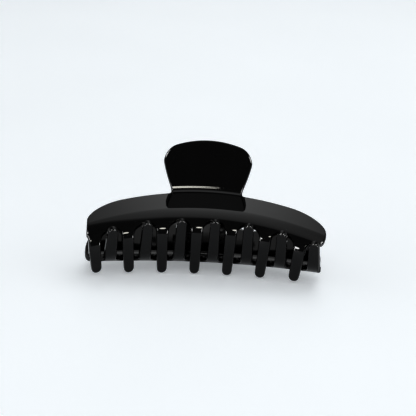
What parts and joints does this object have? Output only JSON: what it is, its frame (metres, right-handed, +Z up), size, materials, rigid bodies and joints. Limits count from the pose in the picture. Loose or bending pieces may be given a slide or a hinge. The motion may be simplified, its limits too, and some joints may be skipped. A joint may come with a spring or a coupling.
{
  "type": "claw clip",
  "caption": "Glossy black hair claw clip, lying closed: two bowed jaws with interleaved teeth and flared handles on a sprung pin hinge, so squeezing the handles opens the jaws.",
  "frame": {"origin": "the middle of the footprint, on the surface that the closed clip lies on", "axes": "+X along the clip, from the end where the upper jaw's first tooth is to the end where it has its rounded lobe; +Y back, from the teeth to the handles; +Z up, away from the surface. The plane between the jaws leans 16.1 degrees, down at the teeth."},
  "size_m": [0.105, 0.0636, 0.0527],
  "materials": {
    "jaw_plastic": "polished deep black sheet with softly rounded edges",
    "leaf_steel": "stamped sheet steel with a satin black lacquer",
    "wire_steel": "drawn bright steel",
    "stud_steel": "black-finished steel heads"
  },
  "bodies": {
    "lower_half": {"lower_jaw": "jaw_plastic", "lower_hinge_leaf": "leaf_steel", "lower_leaf_studs": "stud_steel", "hinge_pin": "wire_steel", "torsion_spring": "wire_steel"},
    "upper_half": {"upper_jaw": "jaw_plastic", "upper_hinge_leaf": "leaf_steel", "upper_leaf_studs": "stud_steel"}
  },
  "joints": [
    {"name": "jaw_hinge", "type": "hinge", "parent": "lower_half", "child": "upper_half", "pos_m": [0, 0.0039, 0.02093], "axis": [-1, 0, 0], "range_deg": [0, 96], "stiffness_Nm_per_rad": 0.15, "springref_deg": -40.11, "deforming": ["torsion_spring"]}
  ]
}
